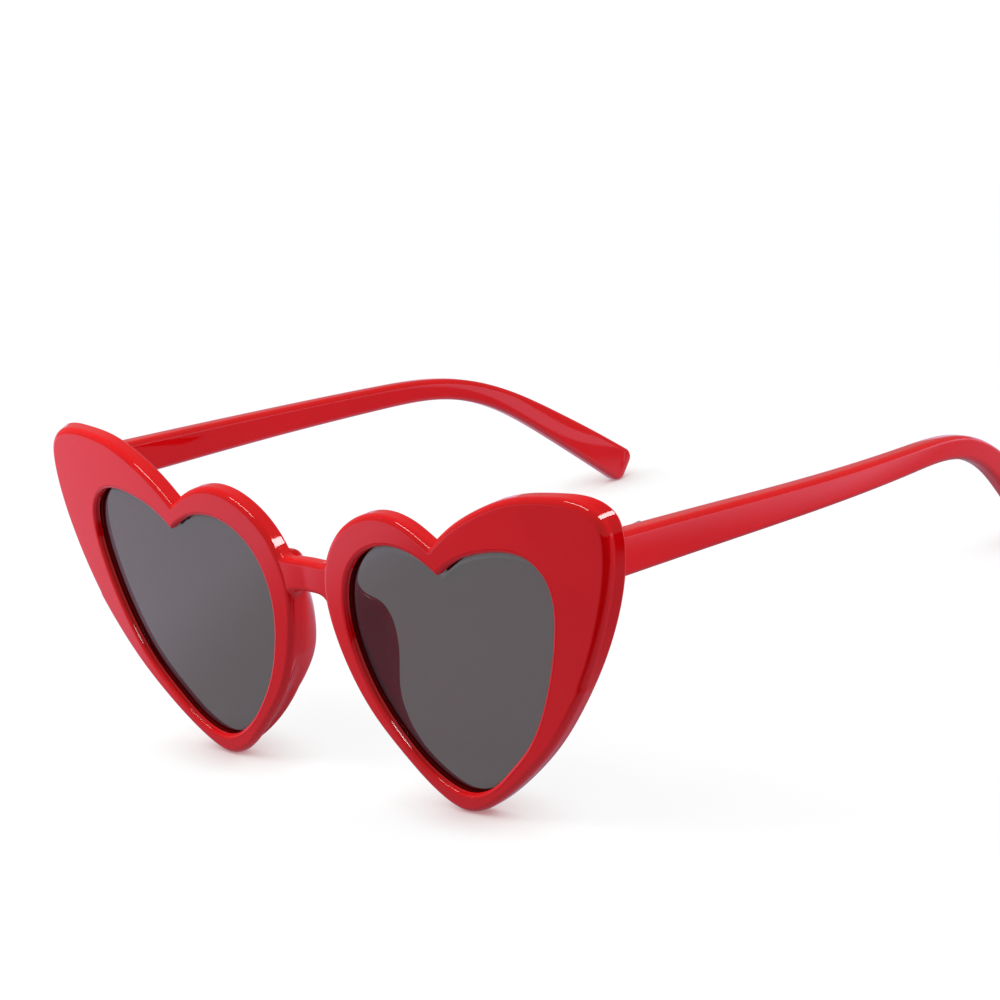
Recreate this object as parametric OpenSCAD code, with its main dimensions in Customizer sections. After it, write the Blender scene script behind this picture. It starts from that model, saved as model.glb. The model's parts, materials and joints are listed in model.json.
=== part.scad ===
// Heart-shaped sunglasses, standing open on the two heart tips and the two ear tips.
// Built in the frame of the front: X across, the front faces -Y, the temples run along +Y,
// and Z is up from the heart tips. The wearer's left is +X. Each left piece is modelled,
// and the right one is its mirror image. At the end the whole leans back onto its four tips.

/* [Front] */
// Width of one heart rim
heart_w = 69.6; // [62:0.1:76]
// Width of the gap for the nose, where the two hearts are closest
nose_w = 9; // [6:0.5:14]
// Height of one heart rim from its tip to the top of its lobes
heart_h = 61.3; // [56:0.1:66]
// Thickness of the rim from front to back
rim_t = 3.5; // [3.3:0.1:4.4]
// How far the front curves back from its middle to the wings
front_bow = 7.9; // [4:0.1:9]
// How far the hearts lean forward again beside the bridge
front_dip = 5.3; // [3:0.1:6]
// How far the heart tips curve back
tip_bow = 1.8; // [0.5:0.1:2.5]
// Round of the outer front edge of the rims
outer_round = 1.3; // [0.6:0.1:1.6]
// Round of the outer front edge at the wings
wing_round = 1.3; // [0.8:0.1:1.8]
// How far the sides of the wings slant in towards the front
wing_slant = 1.5; // [0.4:0.1:1.8]
// Round of the front edge of each lens opening
opening_round = 0.7; // [0.4:0.1:1]
// Round of the back edges
back_round = 0.6; // [0.3:0.1:0.8]
// How far the nose side of the rims slants in towards the back
nose_bevel = 2; // [0.5:0.1:2.2]

/* [Lenses] */
// Thickness of a lens
lens_t = 1.4; // [1.1:0.1:1.5]
// Depth of a lens behind the front of its rim
lens_set = 1.4; // [1.1:0.1:1.5]
// Depth of the lens groove
groove_d = 0.8; // [0.5:0.1:1]
// Bevel of the lens edge
lens_bevel = 0.4; // [0.2:0.1:0.5]
// Gap between a lens and its groove
lens_fit = 0.08; // [0.04:0.01:0.15]

/* [Bridge] */
// Height of the bridge
bridge_h = 6; // [4.5:0.1:7.5]
// How far the middle of the bridge lies under the top of the hearts
bridge_drop = 21.6; // [20:0.1:24]
// How far the front of the bridge lies behind the front of the rims
bridge_set = 0.6; // [0.2:0.1:1]
// How far the back of the bridge lies before the back of the rims
bridge_back = 0.1; // [0:0.1:0.5]
// How far the front of the bridge falls back from its middle to the rims
bridge_crown = 0.7; // [0.2:0.1:1]

/* [Nose pads] */
// Height of a nose pad
pad_h = 30.8; // [26:0.1:33]
// How far the top of a nose pad reaches above the middle of the bridge, behind it
pad_rise = 3.5; // [1.5:0.1:4]
// How far a nose pad stands out behind the rim
pad_d = 6; // [4:0.1:6.5]
// Width of a nose pad at its root
pad_w = 5; // [4:0.1:5.5]
// How far out the back of a nose pad lies from where the hearts are closest
pad_out = 6.5; // [5:0.1:8]
// How far the back of a nose pad splays outwards from its top to its foot
pad_splay = 2.6; // [1:0.1:4]
// Glue gap between a nose pad and the rim
pad_fit = 0.03; // [0.02:0.01:0.06]

/* [Temples] */
// How far the middle of a temple's butt lies under the top of the hearts
hinge_drop = 10.9; // [9.5:0.1:12]
// Length of a temple along Y, from its butt to its ear tip
temple_l = 134.5; // [120:0.5:138]
// Height of a temple at its butt
temple_h = 7.6; // [7.2:0.1:8.4]
// Thickness of a temple at its butt
temple_t = 4.4; // [4:0.1:5]
// Drop of the ear tip below the butt
temple_drop = 42.5; // [38:0.5:46]
// How far the ear tip tucks in behind the head
temple_tuck = 14.5; // [8:0.5:16]
// How far the side of the wing stands outside the temple
wing_step = 2.2; // [1.4:0.1:2.8]
// Round of the long edges of the temples
temple_round = 1.1; // [0.6:0.1:1.3]
// Round of the end of the ear tip
tip_round = 1.8; // [1.5:0.1:3]
// Gap between a temple and its end piece
butt_gap = 0.4; // [0.3:0.05:0.5]

/* [Hinges] */
// Diameter of the hinge barrel
barrel_d = 3; // [2.7:0.1:3.2]
// Height of the hinge barrel and its leaves
barrel_l = 4.8; // [4:0.1:5.2]
// Diameter of the hinge screw
screw_d = 1.4; // [1.2:0.05:1.5]
// Diameter of the screw head
head_d = 2.4; // [2:0.1:2.6]
// Height of the screw head
head_h = 0.6; // [0.4:0.05:0.8]
// Thickness of a hinge leaf
leaf_t = 0.8; // [0.6:0.05:1]
// Length of the leaf on the front
front_leaf_l = 4.4; // [3.6:0.1:5]
// Length of the leaf on the temple
temple_leaf_l = 9; // [7:0.5:12]
// Diameter of the anchor posts under a hinge leaf
post_d = 1.2; // [0.9:0.05:1.4]
// Length of the anchor posts
post_l = 1.6; // [1.2:0.1:1.8]
// Running gap between the knuckles, along the screw
knuckle_gap = 0.1; // [0.06:0.01:0.15]
// Radial running gap between the knuckles of the temple and the screw
screw_fit = 0.04; // [0.02:0.01:0.08]
// Gap round a leaf and its posts, and round the screw in the front's knuckles
leaf_fit = 0.03; // [0.02:0.01:0.06]

/* [Hidden] */

// One overrun serves every cut, and a slice of a swept form is this thin
over = 0.4;
slice_t = 0.02;
// Spacing of the sections along an outline
station_step = 3.4;
// Spacing of the sections along a temple
temple_step = 6;

// The outer and inner outline of the left heart, clockwise from its notch, seen from the front.
// Each row is [outer x, outer z, inner x, inner z], in shares of the heart's width and height,
// counted from its side next to the bridge and from its tip.
heart_shares = [
    [0.426, 0.812, 0.442, 0.730], [0.498, 0.875, 0.504, 0.776], [0.587, 0.930, 0.570, 0.804],
    [0.702, 0.976, 0.644, 0.820], [0.831, 0.991, 0.710, 0.819], [0.930, 0.983, 0.756, 0.798],
    [0.984, 0.944, 0.786, 0.762], [0.999, 0.864, 0.800, 0.711], [0.983, 0.748, 0.799, 0.646],
    [0.945, 0.629, 0.784, 0.564], [0.895, 0.518, 0.758, 0.472], [0.823, 0.393, 0.714, 0.360],
    [0.730, 0.262, 0.653, 0.255], [0.615, 0.141, 0.569, 0.161], [0.500, 0.046, 0.483, 0.087],
    [0.395, 0.000, 0.390, 0.061], [0.299, 0.040, 0.300, 0.103], [0.193, 0.146, 0.214, 0.191],
    [0.103, 0.262, 0.141, 0.306], [0.039, 0.401, 0.096, 0.430], [0.006, 0.544, 0.080, 0.552],
    [0.009, 0.655, 0.096, 0.650], [0.057, 0.767, 0.142, 0.728], [0.142, 0.847, 0.208, 0.775],
    [0.249, 0.882, 0.288, 0.792], [0.346, 0.862, 0.370, 0.775], [0.426, 0.811, 0.442, 0.730]];
// The height at which the front stands furthest forward, and how far across the wing begins
bow_share = 0.59;
wing_share = 0.833;
// How far across the heart and how far up it the slant of the nose side reaches
bevel_share = [0.456, 0.38];
bevel_fade_share = 0.14;
// The middle of the lens, and the rings of points between it and the edge
mid_share = [0.426, 0.46];
lens_shares = [0.35, 0.7];

// Where the two anchor posts stand along the leaf on the temple
post_shares = [0.3, 0.8];

// The way of a temple: [along its length, drop, height, thickness, how far out its outer face lies],
// in shares of its length, its drop, its height, its thickness and its tuck
temple_shares = [
    [0.000, 0.000, 1.000, 1.00, 0.00], [0.155, 0.052, 0.890, 0.98, 0.03], [0.385, 0.132, 0.735, 0.92, 0.05],
    [0.585, 0.200, 0.630, 0.85, -0.07], [0.710, 0.267, 0.585, 0.82, -0.24], [0.798, 0.395, 0.630, 0.80, -0.42],
    [0.884, 0.608, 0.790, 0.78, -0.66], [0.950, 0.796, 0.930, 0.76, -0.86], [0.990, 0.913, 1.000, 0.74, -0.97]];

// Spacing of the sections of a nose pad, how full its round is, and the height its splay turns about
pad_step_share = 0.07;
pad_full_share = 0.8;
pad_turn_share = 0.53;
// How a nose pad swells from its top to its foot, in shares of its sizes. Each row is
// [down its height, depth, width, and how far over towards the nose, in widths]
pad_shares = [
    [0.00, 0.08, 0.45, 0.52], [0.03, 0.30, 0.70, 0.50], [0.07, 0.38, 0.84, 0.44], [0.14, 0.40, 0.90, 0.26],
    [0.23, 0.50, 0.93, 0.08], [0.29, 0.80, 0.95, 0.00], [0.37, 0.97, 0.98, 0.00], [0.47, 1.00, 1.00, 0.00],
    [0.58, 0.96, 1.00, 0.00], [0.70, 0.84, 0.94, 0.00], [0.81, 0.60, 0.84, 0.00], [0.92, 0.28, 0.66, 0.00],
    [1.00, 0.05, 0.50, 0.00]];

heart_x0 = nose_w / 2;
half_w = heart_x0 + heart_w;
bridge_z = heart_h - bridge_drop;
hinge_z = heart_h - hinge_drop;
lens_mid = [heart_x0 + mid_share.x * heart_w, mid_share.y * heart_h];

// Front surface of the rims: a base curve across, and a slight one up and down
function front_y(x, z) =
    front_bow * pow(abs(x) / half_w, 2) - front_dip * abs(x) / half_w
    + tip_bow * pow((z / heart_h - bow_share) / bow_share, 2);
function back_y(x, z) = front_y(x, z) + rim_t;

// Smooth curve through control points, whose two ends may meet in a sharp corner
function catmull(a, b, c, d, t) =
    b + t * (c - a) / 2 + t * t * (2 * a - 5 * b + 4 * c - d) / 2 + t * t * t * (3 * (b - c) + d - a) / 2;
function before(p, i) = i > 0 ? p[i - 1] : 2 * p[0] - p[1];
function after(p, i) = i + 2 < len(p) ? p[i + 2] : 2 * p[len(p) - 1] - p[len(p) - 2];
function steps_of(a, b, step) = max(1, round(norm([b[0] - a[0], b[1] - a[1]]) / step));
function smooth(p, step) = [
    for (i = [0 : len(p) - 2])
        let (n = steps_of(p[i], p[i + 1], step))
        for (k = [0 : n - 1])
            catmull(before(p, i), p[i], p[i + 1], after(p, i), k / n)];

heart_rows = [for (s = heart_shares)
    [heart_x0 + s[0] * heart_w, s[1] * heart_h, heart_x0 + s[2] * heart_w, s[3] * heart_h]];
stations = smooth(heart_rows, station_step);

// Where the nose side of a heart lies at a height
nose_side = [for (p = stations) if (p[0] < lens_mid.x && p[1] < bridge_z + bridge_h) [p[1], p[0]]];
function nose_x(z) = lookup(z, nose_side);

// Triangles of a skin of rings with n points each: closed into a loop, or with a cap on each end
function quad(a, b, c, d) = [[a, b, c], [a, c, d]];
function skin_faces(rings, n, loop) = [
    for (i = [0 : rings - (loop ? 1 : 2)])
        let (k = ((i + 1) % rings) * n)
        for (j = [0 : n - 1])
            let (m = (j + 1) % n)
            each quad(i * n + j, i * n + m, k + m, k + j)];
function cap_faces(rings, n) =
    let (last = (rings - 1) * n)
    [for (j = [1 : n - 2]) each [[0, j + 1, j], [last, last + j, last + j + 1]]];
module loop_skin(rings) {
    polyhedron([for (r = rings) each r], skin_faces(len(rings), len(rings[0]), true));
}
module capped_skin(rings) {
    n = len(rings[0]);
    polyhedron([for (r = rings) each r], concat(skin_faces(len(rings), n, false), cap_faces(len(rings), n)));
}

// Points of a round between two angles
function arc(x, y, r, from, to, n) = [
    for (i = [0 : n])
        let (a = from + (to - from) * i / n)
        [x + r * cos(a), y + r * sin(a)]];
// Rectangle about the origin with round corners
function round_box(w, h, r, n) = concat(
    arc(w / 2 - r, h / 2 - r, r, 0, 90, n), arc(r - w / 2, h / 2 - r, r, 90, 180, n),
    arc(r - w / 2, r - h / 2, r, 180, 270, n), arc(w / 2 - r, r - h / 2, r, 270, 360, n));

// Section of the rim: x runs from the lens opening outwards, y from the front to the back
function rim_section(w, wing, side, nose) =
    let (
        r = outer_round + (wing_round - outer_round) * wing,
        g0 = lens_set - lens_fit,
        g1 = lens_set + lens_t + lens_fit)
    concat(
        arc(w - wing_slant * side - r, r, r, -90, 0, 4),
        arc(w - back_round - nose_bevel * nose, rim_t - back_round, back_round, 0, 90, 2),
        [[0, rim_t], [0, g1], [groove_d, g1 - lens_bevel], [groove_d, g0 + lens_bevel], [0, g0]],
        arc(opening_round, opening_round, opening_round, 180, 270, 2));

// How much a station belongs to the wing, from 0 to 1
function wing_part(p) =
    let (t = ((p[0] - heart_x0) / heart_w - wing_share) / (1 - wing_share))
    p[1] < lens_mid.y ? 0 : max(0, min(1, t));
// The same, less where the station looks up or down and not to the side
function side_part(p) =
    let (way = [p[0] - p[2], p[1] - p[3]])
    wing_part(p) * pow(way.x / norm(way), 2);

// How much it belongs to the slanted nose side, from 0 to 1
function nose_part(p) =
    let (
        down = (bevel_share.y - p[1] / heart_h) / bevel_fade_share,
        in = (bevel_share.x - (p[0] - heart_x0) / heart_w) / bevel_fade_share)
    max(0, min(1, down)) * max(0, min(1, in));

// A point of a station's line, at a distance from the opening, and pushed back from the front
function on_station(p, out, deep) =
    let (
        way = [p[0] - p[2], p[1] - p[3]],
        e = way / norm(way),
        x = p[2] + e.x * out,
        z = p[3] + e.y * out)
    [x, front_y(x, z) + deep, z];
function rim_ring(p) = [
    let (w = norm([p[0] - p[2], p[1] - p[3]]))
    for (q = rim_section(w, wing_part(p), side_part(p), nose_part(p)))
        on_station(p, q.x, q.y)];
rim_rings = [for (p = stations) rim_ring(p)];

module rim() {
    loop_skin(rim_rings);
}

// Bridge between the hearts, flaring where it runs into the rims
bridge_in = groove_d * 3;
bridge_reach = heart_x0 + bridge_in;
bridge_flare = bridge_h * 0.4;
bridge_t = rim_t - bridge_set - bridge_back;
bridge_steps = 10;
module bridge_slice(x) {
    h = bridge_h + bridge_flare * pow(abs(x) / bridge_reach, 3);
    back = bridge_crown * pow(min(1, abs(x) / heart_x0), 2);
    t = bridge_t - back;
    translate([x, front_y(x, bridge_z) + bridge_set + back + t / 2, bridge_z])
        rotate([90, 0, 90])
            linear_extrude(height = slice_t, center = true)
                polygon(round_box(t, h, t / 3, 4));
}
module bridge() {
    for (i = [0 : bridge_steps - 1])
        hull() {
            bridge_slice(bridge_reach * (2 * i / bridge_steps - 1));
            bridge_slice(bridge_reach * (2 * (i + 1) / bridge_steps - 1));
        }
}

// Places round the hinge: faces of the temple at its butt, and the axis of the hinge behind the rim
outer_x = half_w - wing_step;
inner_x = outer_x - temple_t;
axis_out = barrel_d / 2 + butt_gap;
axis_x = inner_x - axis_out;
barrel_z0 = hinge_z - barrel_l / 2;
axis_y = back_y(axis_x, hinge_z) + axis_out;
back_slope = atan((back_y(inner_x, hinge_z) - back_y(axis_x, hinge_z)) / (inner_x - axis_x));
module at_hinge(turn, z) {
    translate([axis_x, axis_y, z])
        rotate([0, 0, turn])
            children();
}

// Front leaf: sunk into the back of the rim beside the hinge axis, along its slope
front_leaf_y = -axis_out - leaf_t;
module front_leaf_plate(grow, deep) {
    at_hinge(back_slope, barrel_z0 - grow)
        translate([barrel_d / 2 - front_leaf_l - grow, front_leaf_y - grow, 0])
            cube([front_leaf_l + 2 * grow, leaf_t + grow + deep, barrel_l + 2 * grow]);
}
module front_posts(grow) {
    for (z = [-1, 1])
        at_hinge(back_slope, hinge_z + z * barrel_l / 4)
            translate([barrel_d / 2 + post_d - front_leaf_l, front_leaf_y + slice_t, 0])
                rotate([90, 0, 0])
                    cylinder(d = post_d + 2 * grow, h = post_l + slice_t + grow, $fn = 48);
}

module front_body() {
    difference() {
        union() {
            rim();
            mirror([1, 0, 0]) rim();
            bridge();
        }
        for (m = [0, 1])
            mirror([m, 0, 0]) {
                front_leaf_plate(leaf_fit, over * 4);
                front_posts(leaf_fit);
            }
    }
}

// A lens: a curved plate that follows the opening, with its bevelled edge in the groove
function lens_point(p, s, deep) =
    let (x = lens_mid.x + (p[2] - lens_mid.x) * s, z = lens_mid.y + (p[3] - lens_mid.y) * s)
    [x, front_y(x, z) + deep, z];
function lens_ring(p) =
    let (edge = groove_d - lens_fit, back = lens_set + lens_t)
    concat(
        [for (s = lens_shares) lens_point(p, s, lens_set)],
        [on_station(p, 0, lens_set), on_station(p, edge, lens_set + lens_bevel),
         on_station(p, edge, back - lens_bevel), on_station(p, 0, back)],
        [for (i = [len(lens_shares) - 1 : -1 : 0]) lens_point(p, lens_shares[i], back)]);
module lens() {
    n = len(stations);
    rings = [for (p = stations) lens_ring(p)];
    m = len(rings[0]);
    front_mid = [lens_mid.x, front_y(lens_mid.x, lens_mid.y) + lens_set, lens_mid.y];
    back_mid = front_mid + [0, lens_t, 0];
    strips = [for (i = [0 : n - 1]) let (k = (i + 1) % n) for (j = [0 : m - 2])
        each quad(i * m + j, i * m + j + 1, k * m + j + 1, k * m + j)];
    fans = [for (i = [0 : n - 1]) let (k = (i + 1) % n)
        each [[n * m, i * m, k * m], [n * m + 1, k * m + m - 1, i * m + m - 1]]];
    polyhedron(concat([for (r = rings) each r], [front_mid, back_mid]), concat(strips, fans));
}

// A nose pad: a skewed ridge glued on the back of the rim, along the nose side of the heart
pad_top = bridge_z + pad_rise;
pad_points = 12;
function pad_ring(s) =
    let (
        z = pad_top - s[0] * pad_h,
        w = pad_w * s[2],
        bevel = nose_bevel * nose_part([nose_x(z), z]),
        x0 = nose_x(z) + bevel + back_round / 3 + pad_w * (1 / 2 - s[3]),
        back_x = heart_x0 + pad_out + pad_splay * (s[0] - pad_turn_share))
    [for (i = [0 : pad_points])
        let (
            a = 180 - 180 * i / pad_points,
            x = x0 - w / 2 * cos(a) + (back_x - x0) * s[1] * sin(a))
        [x, back_y(x, z) + pad_fit + pad_d * s[1] * pow(sin(a), pad_full_share), z]];
module pad() {
    rows = concat(smooth(pad_shares, pad_step_share), [pad_shares[len(pad_shares) - 1]]);
    capped_skin([for (s = rows) pad_ring(s)]);
}

// A temple: sections square to its way in the side view, each a box with round edges
temple_y0 = back_y(outer_x, hinge_z) + butt_gap;
temple_rows = [for (s = temple_shares)
    [temple_y0 + s[0] * temple_l, hinge_z - s[1] * temple_drop, s[2] * temple_h, s[3] * temple_t,
     outer_x + s[4] * temple_tuck]];
temple_way = concat(smooth(temple_rows, temple_step), [temple_rows[len(temple_rows) - 1]]);
function way_angle(i) =
    let (
        a = temple_way[max(0, i - 1)],
        b = temple_way[min(len(temple_way) - 1, i + 1)])
    atan2(b[1] - a[1], b[0] - a[0]);
function temple_ring(p, angle, ahead, less) = [
    for (q = round_box(p[3] - less / 2, p[2] - 2 * less, min(temple_round, p[3] / 3), 2))
        [p[4] - p[3] / 2 - ahead * temple_tuck / temple_drop + q.x,
         p[0] + ahead * cos(angle) - q.y * sin(angle),
         p[1] + ahead * sin(angle) + q.y * cos(angle)]];
tip_steps = 4;
// The butt follows the back of the rim
butt_ring = [for (q = temple_ring(temple_way[0], 0, 0, 0)) [q.x, back_y(q.x, q.z) + butt_gap, q.z]];
temple_rings = concat(
    [butt_ring],
    [for (i = [1 : len(temple_way) - 1]) temple_ring(temple_way[i], way_angle(i), 0, 0)],
    [for (k = [1 : tip_steps])
        let (a = 80 * k / tip_steps, last = len(temple_way) - 1)
        temple_ring(temple_way[last], way_angle(last), tip_round * sin(a), tip_round * (1 - cos(a)))]);

temple_leaf_y = axis_y + butt_gap;
module temple_leaf_plate(grow, deep) {
    translate([inner_x - deep, temple_leaf_y - grow, barrel_z0 - grow])
        cube([leaf_t + grow + deep, temple_leaf_l + 2 * grow, barrel_l + 2 * grow]);
}
module temple_posts(grow) {
    for (s = post_shares)
        translate([inner_x + leaf_t - slice_t, temple_leaf_y + s * temple_leaf_l, hinge_z])
            rotate([0, 90, 0])
                cylinder(d = post_d + 2 * grow, h = post_l + slice_t + grow, $fn = 48);
}
module temple_body() {
    difference() {
        capped_skin(temple_rings);
        temple_leaf_plate(leaf_fit, over * 2);
        temple_posts(leaf_fit);
    }
}

// Hinge barrel: five knuckles, of which the front's leaf has three and the temple's two
knuckles = 5;
knuckle_h = (barrel_l - (knuckles - 1) * knuckle_gap) / knuckles;
module knuckle(i, turn, neck_at, neck_size, bore) {
    at_hinge(turn, barrel_z0 + i * (knuckle_h + knuckle_gap))
        difference() {
            union() {
                cylinder(d = barrel_d, h = knuckle_h, $fn = 64);
                translate(neck_at)
                    cube([neck_size.x, neck_size.y, knuckle_h]);
            }
            translate([0, 0, -over])
                cylinder(d = bore, h = knuckle_h + 2 * over, $fn = 64);
        }
}

module front_leaf() {
    front_leaf_plate(0, 0);
    front_posts(0);
    for (i = [0, 2, 4])
        knuckle(i, back_slope, [-barrel_d / 2, front_leaf_y + leaf_t / 2], [barrel_d, axis_out + leaf_t / 2],
            screw_d + 2 * leaf_fit);
}
module temple_leaf() {
    temple_leaf_plate(0, 0);
    temple_posts(0);
    for (i = [1, 3])
        knuckle(i, 0, [0, butt_gap], [axis_out + leaf_t / 2, barrel_d / 2 + butt_gap],
            screw_d + 2 * screw_fit);
}

module screw() {
    slot_w = head_d / 5;
    at_hinge(0, barrel_z0)
        difference() {
            union() {
                cylinder(d = screw_d, h = barrel_l + slice_t, $fn = 64);
                translate([0, 0, barrel_l])
                    cylinder(d = head_d, h = head_h, $fn = 64);
            }
            translate([-head_d, -slot_w / 2, barrel_l + head_h / 2])
                cube([head_d * 2, slot_w, head_h]);
        }
}

// The glasses stand on the heart tips and the ear tips. The front leans back by the angle
// between the floor and the line from the lowest point of the heart to that of the ear tip.
heart_low = [for (r = rim_rings) for (q = r) if (q.z < rim_t) [q.y, q.z]];
ear_low = [for (r = temple_rings) for (q = r) if (q.y > temple_y0 + temple_l / 2) [q.y, q.z]];
function lean_between(a) = min([for (q = ear_low) atan2(q.y - a.y, q.x - a.x)]);
lean = max([for (a = heart_low) lean_between(a)]);
function turned(q) = [q.x * cos(lean) + q.y * sin(lean), q.y * cos(lean) - q.x * sin(lean)];
front_low = [for (r = rim_rings) for (q = r) turned([q.y, q.z])];
ear_turned = [for (q = ear_low) turned(q)];
stand_z = -min([for (q = front_low) q.y]);
stand_y = -(min([for (q = front_low) q.x]) + max([for (q = ear_turned) q.x])) / 2;
module standing() {
    translate([0, stand_y, stand_z])
        rotate([-lean, 0, 0])
            children();
}
module right() {
    mirror([1, 0, 0])
        children();
}

module front_frame() { color("crimson") standing() front_body(); }
module lens_left() { color("dimgray") standing() lens(); }
module lens_right() { color("dimgray") standing() right() lens(); }
module nose_pad_left() { color("firebrick") standing() pad(); }
module nose_pad_right() { color("firebrick") standing() right() pad(); }
module hinge_front_leaf_left() { color("silver") standing() front_leaf(); }
module hinge_front_leaf_right() { color("silver") standing() right() front_leaf(); }
module hinge_screw_left() { color("gainsboro") standing() screw(); }
module hinge_screw_right() { color("gainsboro") standing() right() screw(); }
module temple_left() { color("crimson") standing() temple_body(); }
module temple_right() { color("crimson") standing() right() temple_body(); }
module hinge_temple_leaf_left() { color("silver") standing() temple_leaf(); }
module hinge_temple_leaf_right() { color("silver") standing() right() temple_leaf(); }

front_frame();
lens_left();
lens_right();
nose_pad_left();
nose_pad_right();
hinge_front_leaf_left();
hinge_front_leaf_right();
hinge_screw_left();
hinge_screw_right();
temple_left();
temple_right();
hinge_temple_leaf_left();
hinge_temple_leaf_right();
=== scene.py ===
"""Heart-shaped sunglasses: the polished surfaces, the tinted lenses, the light and the camera.

Each rim, lens, pad and temple is worked out in the frame of the front, which is the one that the glasses
were drawn in: X across, the front faces -Y, Z is up from the heart tips. stand() then leans it back onto
the heart tips and ear tips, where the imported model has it. Lengths are in metres, and named angles in
degrees. The left side is the wearer's.
"""
import json
import math

import bpy
import numpy as np
from mathutils import Matrix, Vector


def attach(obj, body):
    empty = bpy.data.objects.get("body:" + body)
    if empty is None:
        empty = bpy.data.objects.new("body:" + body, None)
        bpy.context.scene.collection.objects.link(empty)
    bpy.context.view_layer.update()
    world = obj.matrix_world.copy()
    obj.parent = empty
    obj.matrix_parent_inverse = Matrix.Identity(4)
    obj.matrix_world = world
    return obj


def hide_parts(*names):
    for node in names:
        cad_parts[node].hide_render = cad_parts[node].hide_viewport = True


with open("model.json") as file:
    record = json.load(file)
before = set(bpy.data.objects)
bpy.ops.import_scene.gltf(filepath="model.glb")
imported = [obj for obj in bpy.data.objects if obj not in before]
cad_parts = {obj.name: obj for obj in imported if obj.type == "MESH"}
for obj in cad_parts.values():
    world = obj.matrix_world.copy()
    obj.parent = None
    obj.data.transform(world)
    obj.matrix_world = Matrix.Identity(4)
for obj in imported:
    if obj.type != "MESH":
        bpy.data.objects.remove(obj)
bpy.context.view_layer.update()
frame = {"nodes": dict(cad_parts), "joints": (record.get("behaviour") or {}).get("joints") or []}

MM = 0.001

# Front
HEART_W = 69.6 * MM
NOSE_W = 9 * MM
HEART_H = 61.3 * MM
RIM_T = 3.5 * MM
FRONT_BOW = 7.9 * MM
FRONT_DIP = 5.3 * MM
TIP_BOW = 1.8 * MM
SOFT_NOSE = 0.6 * MM
OUTER_ROUND = 1.15 * MM
WING_ROUND = 1.6 * MM
WING_SLANT = 1.5 * MM
OPENING_ROUND = 0.7 * MM
BACK_ROUND = 0.6 * MM
BACK_INNER_ROUND = 0.35 * MM
EDGE_STEP = 0.05 * MM
NOSE_BEVEL = 2 * MM
# Lenses
LENS_T = 1.4 * MM
LENS_SET = 1.4 * MM
GROOVE_D = 0.8 * MM
LENS_BEVEL = 0.4 * MM
LENS_FIT = 0.08 * MM
# Bridge
BRIDGE_H = 6 * MM
BRIDGE_T = 2.8 * MM
BRIDGE_DROP = 21.6 * MM
BRIDGE_BACK = 0.1 * MM
BRIDGE_MID_SET = 0.05 * MM
BRIDGE_END_SET = 0.2 * MM
BRIDGE_STRAIGHT = 1.6 * MM
BRIDGE_TOP_FILLET = 1.8 * MM
BRIDGE_LOW_FILLET = 3.0 * MM
BRIDGE_FOOT = 0.4 * MM
BRIDGE_ROOT = 2.4 * MM
# Nose pads
PAD_H = 30.8 * MM
PAD_RISE = 3.5 * MM
PAD_D = 6 * MM
PAD_W = 5 * MM
PAD_OUT = 6.5 * MM
PAD_SPLAY = 2.6 * MM
PAD_ROOT = 1.2 * MM
PAD_HEEL = 0.2 * MM
PAD_HEEL_IN = 0.6 * MM
# Temples and hinges
HINGE_DROP = 10.9 * MM
TEMPLE_L = 134.5 * MM
TEMPLE_H = 7.6 * MM
TEMPLE_T = 4.4 * MM
TEMPLE_DROP = 42.5 * MM
TEMPLE_TUCK = 14.5 * MM
WING_STEP = 2.2 * MM
TEMPLE_ROUND = 1.1 * MM
TIP_ROUND = 1.8 * MM
BUTT_EDGE = 0.35 * MM
BUTT_GAP = 0.4 * MM
BARREL_D = 3 * MM
BARREL_L = 4.8 * MM
LEAF_T = 0.8 * MM
FRONT_LEAF_L = 4.4 * MM
TEMPLE_LEAF_L = 9 * MM
LEAF_FIT = 0.03 * MM
POCKET_OPEN = 0.5 * MM

# The outlines of the left heart, clockwise from its notch: [outer x, outer z, inner x, inner z] in shares
# of the heart's width and height
HEART_SHARES = np.array([
    [0.426, 0.812, 0.442, 0.730], [0.498, 0.875, 0.504, 0.776], [0.587, 0.930, 0.570, 0.804],
    [0.702, 0.976, 0.644, 0.820], [0.831, 0.991, 0.710, 0.819], [0.930, 0.983, 0.756, 0.798],
    [0.984, 0.944, 0.786, 0.762], [0.999, 0.864, 0.800, 0.711], [0.983, 0.748, 0.799, 0.646],
    [0.945, 0.629, 0.784, 0.564], [0.895, 0.518, 0.758, 0.472], [0.823, 0.393, 0.714, 0.360],
    [0.730, 0.262, 0.653, 0.255], [0.615, 0.141, 0.569, 0.161], [0.500, 0.046, 0.483, 0.087],
    [0.395, 0.000, 0.390, 0.061], [0.299, 0.040, 0.300, 0.103], [0.193, 0.146, 0.214, 0.191],
    [0.103, 0.262, 0.141, 0.306], [0.039, 0.401, 0.096, 0.430], [0.006, 0.544, 0.080, 0.552],
    [0.009, 0.655, 0.096, 0.650], [0.057, 0.767, 0.142, 0.728], [0.142, 0.847, 0.208, 0.775],
    [0.249, 0.882, 0.288, 0.792], [0.346, 0.862, 0.370, 0.775], [0.426, 0.811, 0.442, 0.730]])
# Where things change along a heart, in shares of its width and height
BOW_SHARE = 0.59
WING_SHARE = 0.833
BEVEL_SHARE = (0.456, 0.38)
BEVEL_FADE_SHARE = 0.14
MID_SHARE = (0.426, 0.46)
BRIDGE_WALL_SHARES = (0.3, 0.85)
PAD_WALL_SHARES = (-0.1, 0.8)
LEAST_COSINE = 0.55
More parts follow.
